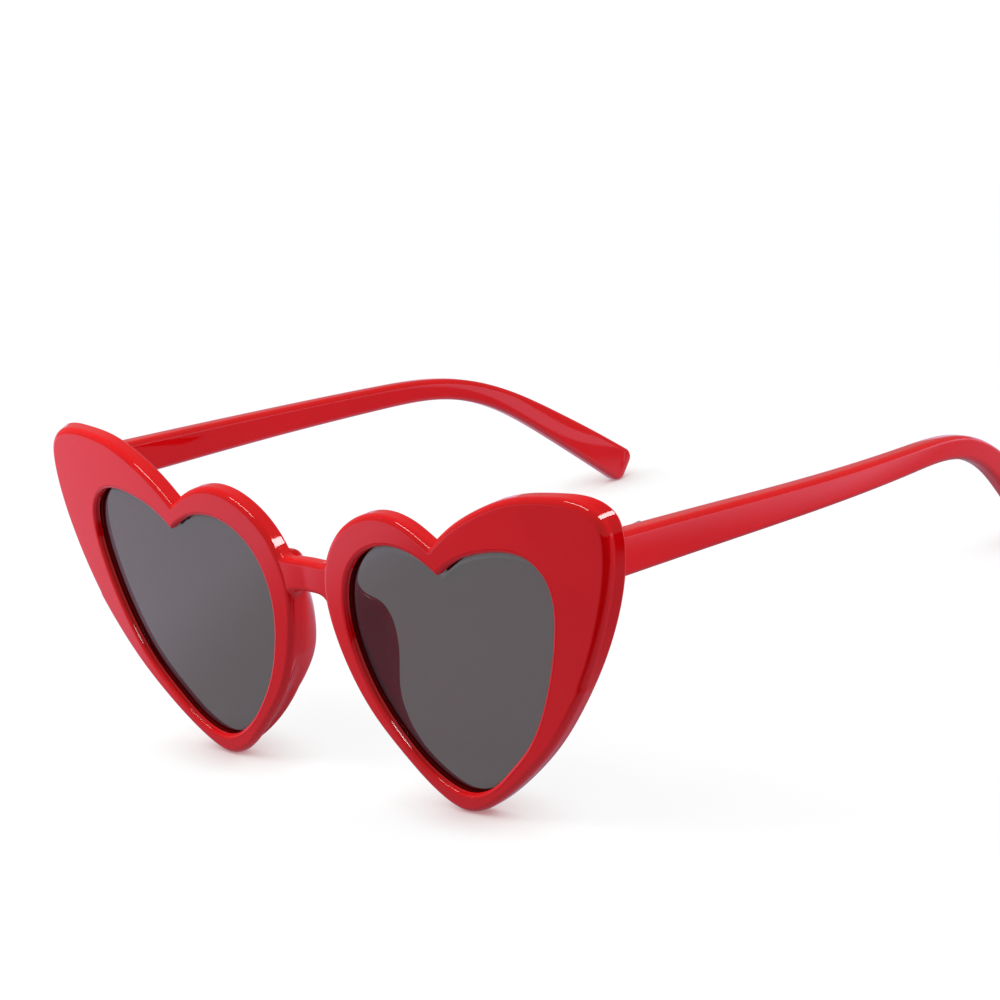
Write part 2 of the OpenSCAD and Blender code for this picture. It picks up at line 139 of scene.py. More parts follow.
# The way of a temple: along it, drop, height, thickness and how far out its outer face lies
TEMPLE_SHARES = np.array([
    [0.000, 0.000, 1.000, 1.00, 0.00], [0.155, 0.052, 0.890, 0.98, 0.03],
    [0.385, 0.132, 0.735, 0.92, 0.05], [0.585, 0.200, 0.630, 0.85, -0.07],
    [0.710, 0.267, 0.585, 0.82, -0.24], [0.798, 0.395, 0.630, 0.80, -0.42],
    [0.884, 0.608, 0.790, 0.78, -0.66], [0.950, 0.796, 0.930, 0.76, -0.86],
    [0.990, 0.913, 1.000, 0.74, -0.97]])
# A nose pad from its top to its foot: down its height, depth, width, and how far over towards the nose
PAD_SHARES = np.array([
    [0.00, 0.08, 0.45, 0.52], [0.03, 0.30, 0.70, 0.50], [0.07, 0.38, 0.84, 0.44], [0.14, 0.40, 0.76, 0.33],
    [0.23, 0.50, 0.80, 0.20], [0.29, 0.80, 0.86, 0.10], [0.37, 1.00, 0.94, 0.03], [0.47, 1.07, 1.00, 0.00],
    [0.58, 1.04, 1.00, 0.00], [0.70, 0.88, 0.92, 0.06], [0.81, 0.62, 0.78, 0.18], [0.92, 0.40, 0.60, 0.32],
    [1.03, 0.26, 0.48, 0.42], [1.13, 0.17, 0.38, 0.46], [1.22, 0.08, 0.28, 0.50], [1.30, 0.02, 0.16, 0.50]])
PAD_TURN_SHARE = 0.53
PAD_FULL_POWER = 0.8

# How finely the surfaces are worked out
STATIONS = 300
FRONT_STEPS = 8
ROUND_STEPS = 9
WALL_SHARES = (0.04, 0.35, 0.65, 0.96)
BACK_STEPS = 6
BACK_ROUND_STEPS = 5
BACK_INNER_STEPS = 4
OPENING_STEPS = 7
LENS_RINGS = 14
BRIDGE_POINTS = 72
BRIDGE_STRAIGHT_STEPS = 6
BRIDGE_BEND_POINTS = 20
PAD_ROWS = 90
PAD_STEPS = 36
TEMPLE_STATIONS = 150
CORNER_STEPS = 7
BUTT_STEPS = 4
TIP_STEPS = 11
SHARP_TURN = 35

# Finishes
RED_DEEP = (0.60, 0.0010, 0.0025)
RED_BRIGHT = (0.64, 0.0014, 0.0035)
LENS_DARK = (0.019, 0.0010, 0.0011)
LENS_LIGHT = (0.025, 0.0014, 0.0015)
LENS_ALPHA = 0.912
STEEL_DARK = (0.56, 0.55, 0.53)
STEEL_LIGHT = (0.74, 0.73, 0.71)
PLASTIC_IOR = 1.5
# The part of a noise's range over which a colour or another value changes
COLOUR_SPAN = (0.35, 0.65)
VALUE_SPAN = (0.3, 0.7)

# Stage and lamps
FLOOR_HALF = 3.0
FLOOR_COLOUR = 0.5
FLOOR_GLOW = 1.15
SHADOW_SHARE = 0.25
SHADOW_FADE = (0.22, 0.5)
# The painted contact shadow on the floor's glow: how far the ambient occlusion looks, the reddish shade that
# the glow turns to where a part is near, and the part of the occlusion's range over which it fades back to
# white
PAINTED_SHADOW_REACH = 12 * MM
PAINTED_SHADOW_COLOUR = (0.5, 0.24, 0.25)
PAINTED_SHADOW_SPAN = (0.25, 0.95)
ROOM_LIGHT = 0.34
MIRRORED_COLOUR = (0.95, 0.95, 1.25, 1)
MIRRORED_ROOM = 0.32
MIRRORED_LEFT = 0.8
MIRRORED_BACK = 0.8
# Where the mirrored floor changes. Left and right are the picture's here
LEFT_WAY = (-1, 0.4, 0)
LEFT_SPAN = (0.02, 0.08)
BEHIND_ACROSS_SPAN = (0.10, 0.15)
BEHIND_SPAN = (0.02, 0.11)
DARK_ACROSS_SPAN = (0.02, 0.07)
DARK_AHEAD_SPAN = (0.085, 0.115)
LAMPS_LOOK_AT = (0, -0.03, HEART_H / 2)

# Camera
CAMERA_AT = (403.0 * MM, -328.8 * MM, 205.0 * MM)
CAMERA_AZIMUTH = 46.78
CAMERA_ELEVATION = 16.79
CAMERA_ROLL = -8.64
PICTURE_PX = 1000
FOCAL_PX = 3076
SENSOR = 36.0

# Worked out from the above
HEART_X0 = NOSE_W / 2
HALF_W = HEART_X0 + HEART_W
BRIDGE_Z = HEART_H - BRIDGE_DROP
HINGE_Z = HEART_H - HINGE_DROP
MID_X = HEART_X0 + MID_SHARE[0] * HEART_W
MID_Z = MID_SHARE[1] * HEART_H
OUTER_X = HALF_W - WING_STEP
INNER_X = OUTER_X - TEMPLE_T
AXIS_OUT = BARREL_D / 2 + BUTT_GAP
AXIS_X = INNER_X - AXIS_OUT


# Curves and arrays

def share_between(low, high, value):
    """How far a value has come from low to high: its distance from low over the range, held to 0 to 1."""
    return np.clip((value - low) / (high - low), 0, 1)


def unit(ways):
    """Each way divided by its own length."""
    return ways / np.linalg.norm(ways, axis=-1, keepdims=True)


def quarter(steps):
    """The angles of a quarter turn in even steps, in radians."""
    return np.radians(np.linspace(0, 90, steps + 1))


def along(points):
    """How far along the line each of its points lies: the sum of the straight steps up to it."""
    return np.concatenate([[0], np.cumsum(np.linalg.norm(np.diff(points, axis=0), axis=1))])


def spline(points, count):
    """A curve through the points: a cubic in each span of the chord length, whose slope and bend run on
    from span to span and whose bend is nil at both ends. count samples, evenly spaced along the curve."""
    points = np.asarray(points, float)
    t = along(points)
    h = np.diff(t)
    n = len(t)
    inner = np.arange(1, n - 1)
    system = np.eye(n)
    system[inner, inner - 1] = h[:-1]
    system[inner, inner] = 2 * (h[:-1] + h[1:])
    system[inner, inner + 1] = h[1:]
    right = np.zeros_like(points)
    right[1:-1] = 6 * np.diff(np.diff(points, axis=0) / h[:, None], axis=0)
    bend = np.linalg.solve(system, right)

    def at(u):
        i = np.clip(np.searchsorted(t, u, side="right") - 1, 0, n - 2)
        a, b, w = (t[i + 1] - u)[:, None], (u - t[i])[:, None], h[i][:, None]
        return ((bend[i] * a ** 3 + bend[i + 1] * b ** 3) / (6 * w)
                + (points[i] / w - bend[i] * w / 6) * a + (points[i + 1] / w - bend[i + 1] * w / 6) * b)

    fine = np.linspace(0, t[-1], 20 * n)
    length = along(at(fine))
    return at(np.interp(np.linspace(0, length[-1], count), length, fine))


def arc(x, y, r, start, end, n):
    """n + 1 points of a circle about (x, y), from one angle to another in degrees, or of one circle for
    each entry of x, y and r."""
    a = np.radians(np.linspace(start, end, n + 1))
    x, y, r = (np.asarray(value)[..., None] for value in (x, y, r))
    return np.stack([x + r * np.cos(a), y + r * np.sin(a)], -1)


def round_box(width, height, r, n):
    """A rectangle about the middle with a quarter circle of radius r at each corner, in n steps each, or
    one rectangle for each entry of the arrays."""
    x = width / 2 - r
    y = height / 2 - r
    return np.concatenate([arc(x, y, r, 0, 90, n), arc(-x, y, r, 90, 180, n),
                           arc(-x, -y, r, 180, 270, n), arc(x, -y, r, 270, 360, n)], -2)


def resampled(loop, count):
    """The same closed loop with count points at even steps along it."""
    closed = np.vstack([loop, loop[:1]])
    t = along(closed)
    at = np.linspace(0, t[-1], count, endpoint=False)
    return np.stack([np.interp(at, t, closed[:, k]) for k in range(closed.shape[1])], -1)


# Faces

def grid_faces(rows, cols, around_rows=False, around_cols=True):
    """Quads of a grid of points, row after row, that may close on itself along either way."""
    i = np.arange(rows if around_rows else rows - 1)[:, None]
    j = np.arange(cols if around_cols else cols - 1)[None, :]
    k = (i + 1) % rows
    m = (j + 1) % cols
    quads = np.stack([i * cols + j, k * cols + j, k * cols + m, i * cols + m], -1)
    return quads.reshape(-1, 4)


def fan_faces(ring, pole, flip):
    """Triangles from a closed ring of point numbers to one point."""
    following = np.roll(ring, -1)
    middle = np.full_like(ring, pole)
    return np.stack([ring, following, middle] if flip else [following, ring, middle], -1)


def closed_tube(rings):
    """Points and faces of a tube of rings, shut by a fan to the middle of the first and of the last one."""
    n, m = rings.shape[:2]
    points = np.concatenate([rings.reshape(-1, 3), rings[:1].mean(1), rings[-1:].mean(1)])
    return points, [grid_faces(n, m), fan_faces(np.arange(m), n * m, True),
                    fan_faces(np.arange(m) + (n - 1) * m, n * m + 1, False)]


def turned(faces):
    """The same faces with their corners the other way round, so that they point the other way."""
    return [f[:, ::-1] for f in faces]


def mirrored(points, faces):
    """The same surface on the other side of the nose: x changes its sign, and the faces are turned."""
    return points * [-1, 1, 1], turned(faces)


def on_side(surface, side):
    """A surface of the left side, or its mirror image for the right side."""
    return surface if side == "left" else mirrored(*surface)


def joined(*surfaces):
    """Several closed surfaces as the points and faces of one mesh."""
    points, faces, first = [], [], 0
    for its_points, its_faces in surfaces:
        points.append(its_points)
        faces += [f + first for f in its_faces]
        first += len(its_points)
    return np.concatenate(points), faces


# The frame of the front

def front_y(x, z):
    """The front of the rims: a bow across that grows with the square of the distance from the middle, less
    a dip in line with it, rounded off over the nose, plus a slight bow up and down from a middle height."""
    across = np.sqrt(x ** 2 + SOFT_NOSE ** 2) - SOFT_NOSE
    return (FRONT_BOW * (x / HALF_W) ** 2 - FRONT_DIP * across / HALF_W
            + TIP_BOW * ((z / HEART_H - BOW_SHARE) / BOW_SHARE) ** 2)


def behind_front(x, z, deep):
    """Points at x and z that lie deep behind the front."""
    return np.stack([x, front_y(x, z) + deep, z], -1)


AXIS_Y = front_y(AXIS_X, HINGE_Z) + RIM_T + AXIS_OUT
HINGE = next(j for j in frame["joints"] if j["name"] == "temple_left_fold")
LEAN_SIN, LEAN_COS = HINGE["axis"][1], HINGE["axis"][2]
STAND_Y = HINGE["pos_m"][1] - AXIS_Y * LEAN_COS - HINGE_Z * LEAN_SIN
STAND_Z = HINGE["pos_m"][2] - HINGE_Z * LEAN_COS + AXIS_Y * LEAN_SIN
STAND = np.array([[1, 0, 0], [0, LEAN_COS, LEAN_SIN], [0, -LEAN_SIN, LEAN_COS]])


def stand(points):
    """Points of the front's frame, turned back about X and set down on the four tips. The lean and the
    place come from the left hinge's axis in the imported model."""
    return np.asarray(points) @ STAND.T + [0, STAND_Y, STAND_Z]


# Pieces

def shade(mesh):
    """Smooth shading, with the edges marked where the faces turn by more than the sharp turn: those whose
    two normals have a product below its cosine."""
    mesh.polygons.foreach_set("use_smooth", np.ones(len(mesh.polygons), bool))
    normals = np.empty(len(mesh.polygons) * 3, np.float32)
    mesh.polygons.foreach_get("normal", normals)
    normals = normals.reshape(-1, 3)
    edges = np.empty(len(mesh.loops), np.int32)
    mesh.loops.foreach_get("edge_index", edges)
    sizes = np.empty(len(mesh.polygons), np.int32)
    mesh.polygons.foreach_get("loop_total", sizes)
    owner = np.repeat(np.arange(len(sizes)), sizes)
    order = np.argsort(edges, kind="stable")
    e, f = edges[order], owner[order]
    pair = np.flatnonzero(e[1:] == e[:-1])
    turn = (normals[f[pair]] * normals[f[pair + 1]]).sum(-1)
    crisp = np.zeros(len(mesh.edges), bool)
    crisp[e[pair[turn < math.cos(math.radians(SHARP_TURN))]]] = True
    mark = mesh.attributes.get("sharp_edge") or mesh.attributes.new("sharp_edge", "BOOLEAN", "EDGE")
    mark.data.foreach_set("value", crisp)
    mesh.update()


def piece(name, surface, material, body, node):
    """A mesh object from points and faces in the front's frame. It rides on a body and replaces a node."""
    points, faces = surface
    mesh = bpy.data.meshes.new(name)
    corners = np.concatenate([f.ravel() for f in faces])
    sizes = np.concatenate([np.full(len(f), f.shape[1]) for f in faces])
    mesh.vertices.add(len(points))
    mesh.vertices.foreach_set("co", stand(points).astype(np.float32).ravel())
    mesh.loops.add(len(corners))
    mesh.loops.foreach_set("vertex_index", corners.astype(np.int32))
    mesh.polygons.add(len(sizes))
    mesh.polygons.foreach_set("loop_start", np.concatenate([[0], np.cumsum(sizes)[:-1]]).astype(np.int32))
    mesh.polygons.foreach_set("loop_total", sizes.astype(np.int32))
    mesh.update(calc_edges=True)
    mesh.validate()
    mesh.materials.append(material)
    made = bpy.data.objects.new(name, mesh)
    bpy.context.scene.collection.objects.link(made)
    shade(mesh)
    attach(made, body)
    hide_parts(node)


# Pockets of the hinge leaves

def leaf_box(low, size, turn):
    """The corners and faces of a box beside the left hinge's axis, turned about that upright axis."""
    corner = np.array([[x, y, z] for x in (0, 1) for y in (0, 1) for z in (0, 1)]) * size + low
    c, s = math.cos(turn), math.sin(turn)
    points = corner @ np.array([[c, s, 0], [-s, c, 0], [0, 0, 1]]) + [AXIS_X, AXIS_Y, HINGE_Z]
    return points, [np.array([(0, 1, 3, 2), (4, 6, 7, 5), (0, 4, 5, 1),
                              (2, 3, 7, 6), (0, 2, 6, 4), (1, 5, 7, 3)])]


def front_leaf_box():
    """The pocket for the front's leaf: a box along the slope of the rim's back between hinge and wing."""
    slope = math.atan((front_y(INNER_X, HINGE_Z) - front_y(AXIS_X, HINGE_Z)) / (INNER_X - AXIS_X))
    low = [BARREL_D / 2 - FRONT_LEAF_L - LEAF_FIT, -AXIS_OUT - LEAF_T - LEAF_FIT, -BARREL_L / 2 - LEAF_FIT]
    size = [FRONT_LEAF_L + 2 * LEAF_FIT, LEAF_T + LEAF_FIT + POCKET_OPEN, BARREL_L + 2 * LEAF_FIT]
    return leaf_box(low, size, slope)


def temple_leaf_box():
    """The pocket for the temple's leaf: a box in the temple's inner face."""
    low = [INNER_X - AXIS_X - POCKET_OPEN, BUTT_GAP - LEAF_FIT, -BARREL_L / 2 - LEAF_FIT]
    size = [LEAF_T + LEAF_FIT + POCKET_OPEN, TEMPLE_LEAF_L + 2 * LEAF_FIT, BARREL_L + 2 * LEAF_FIT]
    return leaf_box(low, size, 0)


def read_back(mesh):
    """The points of a mesh, and its faces as one array for each number of corners."""
    points = np.empty(3 * len(mesh.vertices), np.float32)
    mesh.vertices.foreach_get("co", points)
    corners = np.empty(len(mesh.loops), np.int32)
    mesh.loops.foreach_get("vertex_index", corners)
    first, size = (np.empty(len(mesh.polygons), np.int32) for _ in range(2))
    mesh.polygons.foreach_get("loop_start", first)
    mesh.polygons.foreach_get("loop_total", size)
    faces = [corners[first[size == k][:, None] + np.arange(k)] for k in np.unique(size)]
    return points.reshape(-1, 3).astype(float), faces


def carved(surface, box):
    """The surface less a box, as points and faces again: Blender's exact Boolean takes the pocket out."""
    made = []
    for points, faces in (surface, box):
        mesh = bpy.data.meshes.new("carving")
        mesh.from_pydata(points.tolist(), [], [face for group in faces for face in group.tolist()])
        made.append(bpy.data.objects.new("carving", mesh))
        bpy.context.scene.collection.objects.link(made[-1])
    whole, cutter = made
    cut = whole.modifiers.new("pocket", "BOOLEAN")
    cut.operation = "DIFFERENCE"
    cut.solver = "EXACT"
    cut.object = cutter
    result = read_back(whole.evaluated_get(bpy.context.evaluated_depsgraph_get()).to_mesh())
    for used in made:
        bpy.data.meshes.remove(used.data)
    return result


# Rims

def heart_outlines():
    """The outer and the inner outline of the left heart, each with as many points, from notch to notch: one
    curve through the rows of shares, all four columns at once."""
    scale = [HEART_W, HEART_H, HEART_W, HEART_H]
    rows = spline(HEART_SHARES * scale + [HEART_X0, 0, HEART_X0, 0], STATIONS)
    return rows[:, :2], rows[:, 2:]


OUTER, INNER = heart_outlines()


def wing_part(outer):
    """How much of the wing's bigger round a point of the outer outline has: an even rise across the wing
    above the middle height, and none below it."""
    across = share_between(WING_SHARE, 1, (outer[:, 0] - HEART_X0) / HEART_W)
    return np.where(outer[:, 1] < MID_Z, 0, across)


def nose_part(outer):
    """How much of the slant of the nose side it has: an even rise downwards times one towards the nose."""
    down = share_between(0, BEVEL_FADE_SHARE, BEVEL_SHARE[1] - outer[:, 1] / HEART_H)
    inwards = share_between(0, BEVEL_FADE_SHARE, BEVEL_SHARE[0] - (outer[:, 0] - HEART_X0) / HEART_W)
    return down * inwards


def across_the_line(line, way):
    """The cosine between the way across the rim and the square to its outline, at each station, which is
    the cross product of the two unit ways. Held above a least value in the notch."""
    run = unit(np.gradient(line, axis=0))
    return np.clip(np.abs(way[:, 0] * run[:, 1] - way[:, 1] * run[:, 0]), LEAST_COSINE, 1)


def rim_section(width, wing, side, nose, cos_out, cos_in):
    """One closed section of the rim for each station, as [from the opening outwards, from the front back].
    Straight along the front, a quarter circle round its outer edge, down the wall, which slants evenly in
    at the wing's front and at the nose's back, then round the back edges, along the lens groove and round
    the opening's front edge. The rounds keep their radius square to the outlines."""
    n = len(width)
    r = OUTER_ROUND + (WING_ROUND - OUTER_ROUND) * wing
    bevel = NOSE_BEVEL * nose
    wall_end = RIM_T - BACK_ROUND
    groove_front = LENS_SET - LENS_FIT
    groove_back = LENS_SET + LENS_T + LENS_FIT
    points = []

    def out(d, slant=0):
        return width - d / cos_out - slant * WING_SLANT * side

    def inn(d):
        return np.broadcast_to(d / cos_in, (n,))

    def add(x, y):
        points.append(np.stack([x, np.broadcast_to(y, (n,))], -1))

    near, far = inn(OPENING_ROUND + EDGE_STEP), out(r + EDGE_STEP, 1)
    for t in np.linspace(0, 1, FRONT_STEPS + 1):
        add(near + (far - near) * t, 0)
    for a in quarter(ROUND_STEPS):
        add(out(r - r * math.sin(a), 1), r - r * math.cos(a))
    for t in WALL_SHARES:
        add(out(bevel * t, 1 - t), r + (wall_end - r) * t)
    for a in quarter(BACK_ROUND_STEPS):
        add(out(bevel + BACK_ROUND * (1 - math.cos(a))), wall_end + BACK_ROUND * math.sin(a))
    near, far = inn(BACK_INNER_ROUND + EDGE_STEP), out(bevel + BACK_ROUND + EDGE_STEP)
    for t in np.linspace(0, 1, BACK_STEPS + 1):
        add(far + (near - far) * t, RIM_T)
    for a in quarter(BACK_INNER_STEPS):
        add(inn(BACK_INNER_ROUND * (1 - math.sin(a))), RIM_T - BACK_INNER_ROUND * (1 - math.cos(a)))
    add(inn(0), groove_back)
    add(inn(GROOVE_D), groove_back - LENS_BEVEL)
    add(inn(GROOVE_D), groove_front + LENS_BEVEL)
    add(inn(0), groove_front)
    for a in quarter(OPENING_STEPS):
        add(inn(OPENING_ROUND * (1 - math.sin(a))), OPENING_ROUND * (1 - math.cos(a)))
    return np.stack(points, 1)


def rim_surface():
    """The left rim: its section carried round the heart from the notch back to the notch. At each station
    it lies along the way from the inner to the outer outline, and back from the front."""
    way = OUTER - INNER
    width = np.linalg.norm(way, axis=1)
    way = way / width[:, None]
    wing = wing_part(OUTER)
    section = rim_section(width, wing, wing * way[:, 0] ** 2, nose_part(OUTER),
                          across_the_line(OUTER, way), across_the_line(INNER, way))
    x = INNER[:, None, 0] + way[:, None, 0] * section[..., 0]
    z = INNER[:, None, 1] + way[:, None, 1] * section[..., 0]
    rings = behind_front(x, z, section[..., 1])[:-1]
    n, m = rings.shape[:2]
    return rings.reshape(-1, 3), [grid_faces(n, m, around_rows=True)]


# Bridge

def nose_line(shares):
    """The nose side of the outer outline between two shares of the height, upwards."""
    low, high = np.array(shares) * HEART_H
    side = OUTER[(OUTER[:, 0] < MID_X) & (OUTER[:, 1] > low) & (OUTER[:, 1] < high)]
    return side[np.argsort(side[:, 1])]


def nose_wall(z):
    """The nose side of the outer outline at the given heights, and its way upwards there."""
    line = nose_line(BRIDGE_WALL_SHARES)
    x = np.interp(z, line[:, 1], line[:, 0])
    lean = np.interp(z, line[:, 1], np.gradient(line[:, 0], line[:, 1]))
    return x, unit(np.stack([lean, np.ones(len(z))], -1))


def bridge_lines(deep, up):
    """The lines along the right half of the bridge's middle plane, one for each place on the bar: straight
    for a while, and then a cubic curve towards the rim. It ends along the wall where the place is high or
    low on the bar, by the fourth power of that height, and straight into the wall in the middle. The
    foremost lines run on over the rim's round."""
    fore_share, foot_spread = 0.4, 1.1
    leave_near, leave_far = 0.5, 0.45
    fillet = np.where(up > 0, BRIDGE_TOP_FILLET, BRIDGE_LOW_FILLET)
    flat = np.abs(up)[:, None] ** 4
    fore = share_between(fore_share, 1, -deep) ** 2
    foot_z = BRIDGE_Z + up * (BRIDGE_H / 2 + fillet * (1 - fore / 2))
    wall_x, wall_way = nose_wall(foot_z)
    sunk = BRIDGE_FOOT * (foot_spread - flat[:, 0])
    foot = np.stack([wall_x + sunk * (1 - fore) + (OUTER_ROUND + BRIDGE_FOOT) * fore, foot_z], -1)
    leave = unit(flat * np.sign(up)[:, None] * wall_way + (1 - flat) * [1, 0])
    start = np.stack([np.full(len(up), BRIDGE_STRAIGHT), BRIDGE_Z + up * BRIDGE_H / 2], -1)
    gap = np.linalg.norm(foot - start, axis=1, keepdims=True)
    second, third = start + [1, 0] * gap * leave_near, foot - leave * gap * leave_far

    steps = np.linspace(0, 1, BRIDGE_STRAIGHT_STEPS + 1)[:-1, None, None]
    t = np.linspace(0, 1, BRIDGE_BEND_POINTS)[:, None, None]
    bend = (start * (1 - t) ** 3 + second * 3 * t * (1 - t) ** 2
            + third * 3 * t * t * (1 - t) + foot * t ** 3)
    return np.concatenate([start * [0, 1] + steps * [BRIDGE_STRAIGHT, 0], bend])


def bridge_surface():
    """The bridge: a round-edged bar along the front. Its front is crowned: it falls back with the square of
    the distance from the middle, into the rims' rounds. Its ends shrink to a point inside the rims."""
    bar_round, corner_steps = 2 / 3, 8
    root_shares = np.array([0.25, 0.7])[:, None, None]
    bar = resampled(round_box(2, 2 * BRIDGE_H / BRIDGE_T, bar_round, corner_steps), BRIDGE_POINTS)
    deep = bar[:, 0]
    way = bridge_lines(deep, bar[:, 1] * BRIDGE_T / BRIDGE_H)
    x, z = way[..., 0], way[..., 1]
    end = HEART_X0 + OUTER_ROUND + BRIDGE_FOOT
    back = BRIDGE_MID_SET + (BRIDGE_END_SET - BRIDGE_MID_SET) * np.minimum(1, np.abs(x) / end) ** 2
    half = behind_front(x, z, back + (RIM_T - BRIDGE_BACK - back) * (1 + deep) / 2)
    root = np.array([HEART_X0 + BRIDGE_ROOT, front_y(HEART_X0, BRIDGE_Z) + RIM_T / 2, BRIDGE_Z])
    half = np.concatenate([half, half[-1] + (root - half[-1]) * root_shares])
    points, faces = closed_tube(np.concatenate([half[:0:-1] * [-1, 1, 1], half]))
    return points, turned(faces)


# Lenses

def lens_surface():
    """A lens: the front's bow at two depths, from the middle out to the opening in even shares, with a
    bevelled edge that reaches into the groove."""
    middle = np.array([MID_X, MID_Z])
    shares = np.linspace(0, 1, LENS_RINGS + 1)[1:]
    flat = middle + (INNER[:-1, None] - middle) * shares[None, :, None]
    edge = (INNER + unit(OUTER - INNER) * (GROOVE_D - LENS_FIT))[:-1]
    back = LENS_SET + LENS_T

    def at(xz, deep):
        return behind_front(xz[..., 0], xz[..., 1], deep)

    rings = np.concatenate([at(flat, LENS_SET), at(edge, LENS_SET + LENS_BEVEL)[:, None],
                            at(edge, back - LENS_BEVEL)[:, None], at(flat[:, ::-1], back)], 1)
    n, m = rings.shape[:2]
    poles = np.stack([at(middle, LENS_SET), at(middle, back)])
    points = np.concatenate([rings.reshape(-1, 3), poles])
    first = np.arange(n) * m
    return points, [grid_faces(n, m, around_rows=True, around_cols=False),
                    fan_faces(first, n * m, False), fan_faces(first + m - 1, n * m + 1, True)]


# Nose pads

def pad_surface():
    """A nose pad: at each height it leaves the nose side's wall without a step, swells back and over by a
    power of a half turn's sine, and returns to the back of the rim. Depth, width and lean come from a
    curve through the pad's rows. Each ring starts and ends inside the rim."""
    root_depths, root_edge = (0.5, 0.6), 0.05 * MM
    scale = [PAD_H, PAD_D, PAD_W, PAD_W]
    down, depth, width, over = (spline(PAD_SHARES * scale, PAD_ROWS) / scale).T
    z = BRIDGE_Z + PAD_RISE - down * PAD_H
    line = nose_line(PAD_WALL_SHARES)
    nose_x = np.interp(z, line[:, 1], line[:, 0])
    bevel = NOSE_BEVEL * nose_part(np.stack([nose_x, z], -1))
    middle_x = nose_x + bevel + PAD_W * (1 / 2 - over)
    back_x = HEART_X0 + PAD_OUT + PAD_SPLAY * (down - PAD_TURN_SHARE)
    a = np.radians(np.linspace(0, 180, PAD_STEPS + 1))[None, :]
    x = (middle_x[:, None] - PAD_W * width[:, None] / 2 * np.cos(a)
         + ((back_x - middle_x) * depth)[:, None] * np.sin(a))
    rise = PAD_D * depth[:, None] * np.maximum(np.sin(a), 0) ** PAD_FULL_POWER
    ridge = behind_front(x, np.broadcast_to(z[:, None], x.shape), RIM_T + rise)

    def at(x, deep):
        return behind_front(x, z, deep)[:, None]

    wall = nose_x + bevel / 2
    rings = np.concatenate([at(wall + PAD_ROOT, RIM_T * root_depths[0]),
                            at(wall + root_edge, RIM_T * root_depths[1]),
                            ridge, at(x[:, -1] - PAD_HEEL, RIM_T - PAD_HEEL_IN)], 1)
    return closed_tube(rings[::-1])


# Temples

def temple_rings(way, slope, ahead, less):
    """One ring for each station: a round-edged section square to the way in the side view, carried ahead
    along it and drawn in by less. Going ahead it keeps turning in as the ear end does. Its edge round is at
    most a third of the thickness."""
    end_round = 0.9
    y, z, height, thick, outer_x = way.T
    r = np.maximum(np.minimum(TEMPLE_ROUND, thick / 3), less * end_round)
    box = round_box(thick - less, height - 2 * less, r, CORNER_STEPS)
    c, s = slope.T
    return np.stack([(outer_x - thick / 2 - ahead * TEMPLE_TUCK / TEMPLE_DROP)[:, None] + box[..., 0],
                     (y + ahead * c)[:, None] - box[..., 1] * s[:, None],
                     (z + ahead * s)[:, None] + box[..., 1] * c[:, None]], -1)


def temple_surface():
    """A temple: its rings narrow towards the bend and widen again towards the ear tip, by a curve through
    the rows of its way. The butt follows the back of the rim with a quarter round edge, and the ear tip is
    drawn in along nearly a quarter circle to a rounded end."""
    last_angle = 88
    start_y = front_y(OUTER_X, HINGE_Z) + RIM_T + BUTT_GAP
    scale = [TEMPLE_L, -TEMPLE_DROP, TEMPLE_H, TEMPLE_T, TEMPLE_TUCK]
    way = spline(TEMPLE_SHARES * scale + [start_y, HINGE_Z, 0, 0, OUTER_X], TEMPLE_STATIONS)
    slope = unit(np.gradient(way[:, :2], axis=0))

    butt = quarter(BUTT_STEPS)
    tip = np.radians(np.linspace(0, last_angle, TIP_STEPS + 1))[1:]
    plain = np.zeros(TEMPLE_STATIONS - 1)
    station = np.concatenate([np.zeros(len(butt), int), np.arange(1, TEMPLE_STATIONS),
                              np.full(len(tip), TEMPLE_STATIONS - 1)])
    ahead = np.concatenate([np.zeros(len(butt)), plain, TIP_ROUND * np.sin(tip)])
    less = np.concatenate([BUTT_EDGE * (1 - np.sin(butt)), plain, TIP_ROUND * (1 - np.cos(tip))])
    rings = temple_rings(way[station], slope[station], ahead, less)
    first = rings[:len(butt)]
    edge = RIM_T + BUTT_GAP + BUTT_EDGE * (1 - np.cos(butt))
    first[..., 1] = front_y(first[..., 0], first[..., 2]) + edge[:, None]
    return closed_tube(rings)


# Parts of the materials

def finish(name, **values):
    """A material with one Principled shader, and the values set on its own sockets."""
    made = bpy.data.materials.new(name)
    made.use_nodes = True
    shader = made.node_tree.nodes["Principled BSDF"]
    for key, value in values.items():
        shader.inputs[key.replace("_", " ")].default_value = value
    return made, made.node_tree, shader


def noise(tree, scale, detail, stretch=(1, 1, 1)):
    """A noise on the object's own coordinates times the stretch of each axis, scale to the metre."""
    place = tree.nodes.new("ShaderNodeTexCoord")
    mapping = tree.nodes.new("ShaderNodeMapping")
    mapping.inputs["Scale"].default_value = stretch
    made = tree.nodes.new("ShaderNodeTexNoise")
    made.inputs["Scale"].default_value = scale
    made.inputs["Detail"].default_value = detail
    tree.links.new(place.outputs["Object"], mapping.inputs["Vector"])
    tree.links.new(mapping.outputs["Vector"], made.inputs["Vector"])
    return made.outputs["Fac"]


def ranged(tree, value, span, low, high, kind="LINEAR"):
    """A change from low to high while a value runs through a span, even or, as SMOOTHSTEP, soft at both
    ends. Held outside the span."""
    made = tree.nodes.new("ShaderNodeMapRange")
    made.interpolation_type = kind
    tree.links.new(value, made.inputs["Value"])
    for key, number in (("From Min", span[0]), ("From Max", span[1]), ("To Min", low), ("To Max", high)):
        made.inputs[key].default_value = number
    return made.outputs["Result"]


def between_colours(tree, value, first, second, span=COLOUR_SPAN):
    """An even change from one colour to another while a value runs through a span."""
    made = tree.nodes.new("ShaderNodeValToRGB")
    for element, position, colour in zip(made.color_ramp.elements, span, (first, second)):
        element.position = position
        element.color = (*colour, 1)
    tree.links.new(value, made.inputs["Fac"])
    return made.outputs["Color"]


